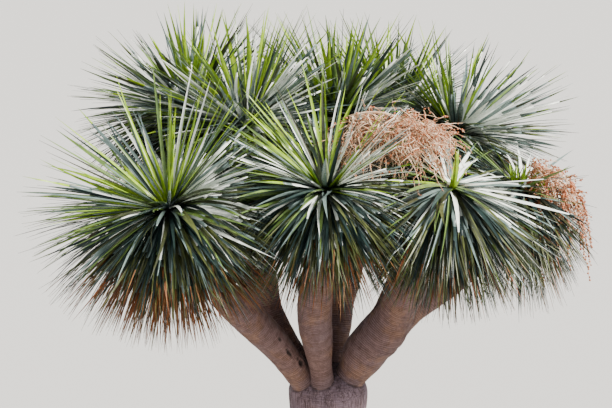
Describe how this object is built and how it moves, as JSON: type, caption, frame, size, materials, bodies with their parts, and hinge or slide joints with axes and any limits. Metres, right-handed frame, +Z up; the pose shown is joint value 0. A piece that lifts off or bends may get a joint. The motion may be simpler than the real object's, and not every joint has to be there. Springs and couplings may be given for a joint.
{
  "type": "dragon tree",
  "caption": "Whole dragon tree with a flared trunk, swollen ringed boughs, sword-leaved rosettes and old fruit panicles.",
  "frame": {"origin": "middle of the flat cut under the trunk, at ground level", "axes": "+Z up the trunk, +X to the right and -Y towards the viewer as the tree is usually seen"},
  "size_m": [2.4097, 2.2887, 3.0071],
  "materials": {
    "bark": "rough, finely ringed and cracked bark",
    "leaf": "smooth, waxy, stiff sword leaves",
    "fruit": "dry twigs with dull orange berries"
  },
  "bodies": {
    "root": {"trunk": "bark", "bough_left_front": "bark", "bough_centre_front": "bark", "bough_right": "bark", "bough_left_back": "bark", "bough_centre_back": "bark", "branch_right_front": "bark", "branch_right_outer": "bark", "branch_right_back": "bark", "branch_mid_left": "bark", "branch_left_back": "bark", "branch_centre_back": "bark", "branch_mid_right": "bark", "branch_back": "bark", "rosette_left_front": "leaf", "rosette_centre_front": "leaf", "rosette_right_front": "leaf", "rosette_mid_left": "leaf", "rosette_left_back": "leaf", "rosette_centre_back": "leaf", "rosette_mid_right": "leaf", "rosette_right_back": "leaf", "rosette_right_outer": "leaf", "rosette_back": "leaf", "fruit_panicle_centre": "fruit", "fruit_panicle_right": "fruit"}
  },
  "joints": []
}
